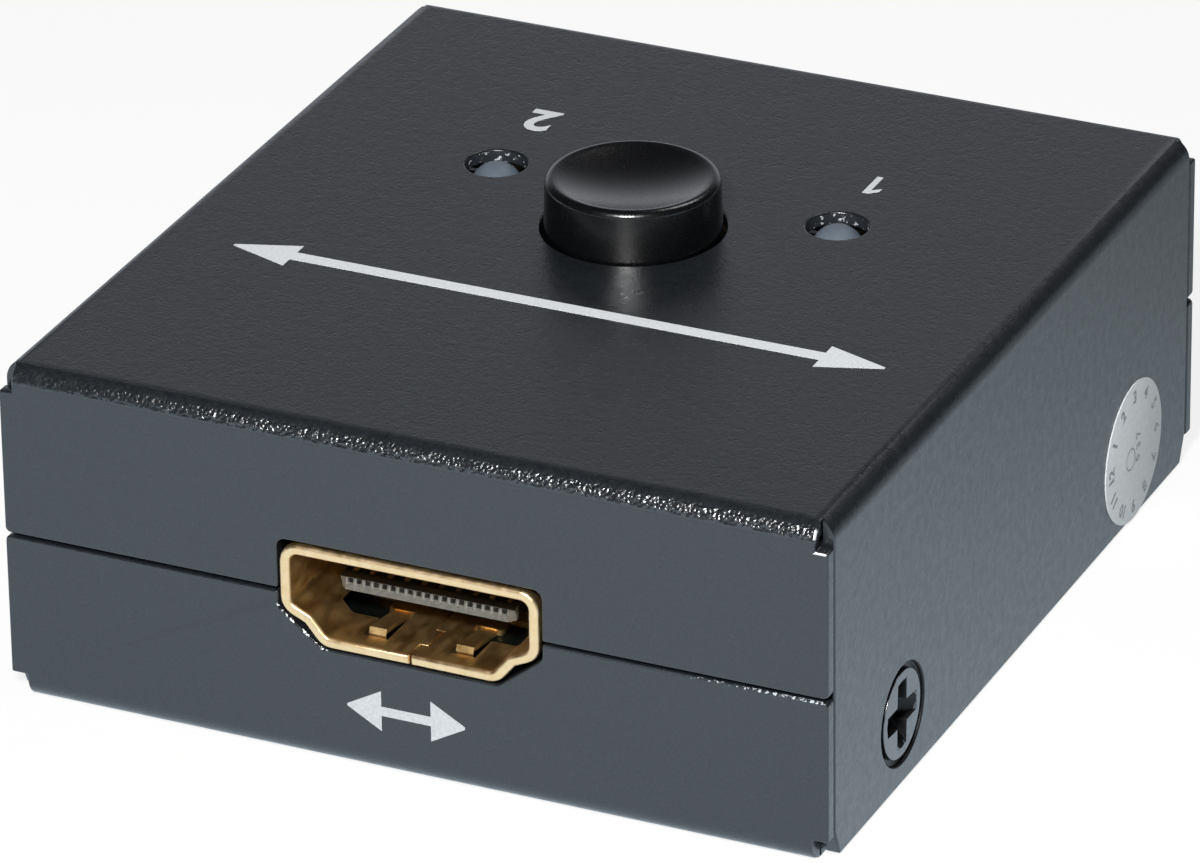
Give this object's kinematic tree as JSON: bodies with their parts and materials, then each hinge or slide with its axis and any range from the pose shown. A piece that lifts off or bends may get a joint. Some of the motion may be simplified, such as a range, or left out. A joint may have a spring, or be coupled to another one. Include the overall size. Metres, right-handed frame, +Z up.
{
  "type": "video switch box",
  "caption": "Small folded-metal switch box with a round latching push button, lamps beside it, one video port in front and a pair behind.",
  "frame": {"origin": "middle of the case's underside, on the supporting surface", "axes": "+X to the right along the front panel, +Y from the front panel to the rear panel, +Z up"},
  "size_m": [0.0481, 0.0522, 0.023],
  "materials": {
    "powder_coat": "fine textured powder coat on folded sheet steel",
    "black_zinc": "black zinc plate",
    "seal_paper": "matt printed paper",
    "zinc_steel": "zinc or tin plate",
    "board_laminate": "solder mask on glass-fibre laminate",
    "gold_plate": "gold flash plate",
    "insulator_plastic": "moulded, matt",
    "chip_resin": "moulded epoxy",
    "chip_ceramic": "fired ceramic with tinned ends",
    "lamp_resin": "milky cast epoxy",
    "spacer_nylon": "moulded nylon",
    "plunger_acetal": "moulded acetal",
    "switch_bronze": "silver-plated bronze strip",
    "button_plastic": "moulded ABS, satin gloss"
  },
  "bodies": {
    "case": {"top_cover": "powder_coat", "bottom_tray": "powder_coat", "case_screws": "black_zinc", "screw_seal": "seal_paper", "board_standoffs": "zinc_steel", "board_screws": "zinc_steel", "lamp_1_leads": "zinc_steel", "lamp_2_leads": "zinc_steel", "chip_leads": "zinc_steel", "return_spring": "zinc_steel", "latch_clip": "zinc_steel", "circuit_board": "board_laminate", "front_port_shell": "gold_plate", "rear_port_1_shell": "gold_plate", "rear_port_2_shell": "gold_plate", "front_port_contacts": "gold_plate", "rear_port_1_contacts": "gold_plate", "rear_port_2_contacts": "gold_plate", "front_port_insulator": "insulator_plastic", "rear_port_1_insulator": "insulator_plastic", "rear_port_2_insulator": "insulator_plastic", "switching_chip": "chip_resin", "chip_parts": "chip_ceramic", "lamp_1": "lamp_resin", "lamp_2": "lamp_resin", "lamp_1_spacer": "spacer_nylon", "lamp_2_spacer": "spacer_nylon", "switch_base": "spacer_nylon", "switch_housing": "spacer_nylon", "switch_terminals": "switch_bronze"},
    "button": {"button_cap": "button_plastic", "switch_plunger": "plunger_acetal", "moving_contacts": "switch_bronze"},
    "latch": {"latch_pin": "zinc_steel"}
  },
  "joints": [
    {"name": "button_press", "type": "slide", "parent": "case", "child": "button", "axis": [0, 0, -1], "range_m": [0, 0.002], "stiffness_N_per_m": 500, "springref_m": -0.002, "deforming": ["return_spring"]},
    {"name": "latch_swing", "type": "hinge", "parent": "case", "child": "latch", "pos_m": [0, 0.0029, 0.00775], "axis": [0, 1, 0], "range_deg": [0, 8.9]}
  ],
  "couplings": [
    {"joint": "latch_swing", "follows": "button_press", "rad_per_m": 77}
  ]
}
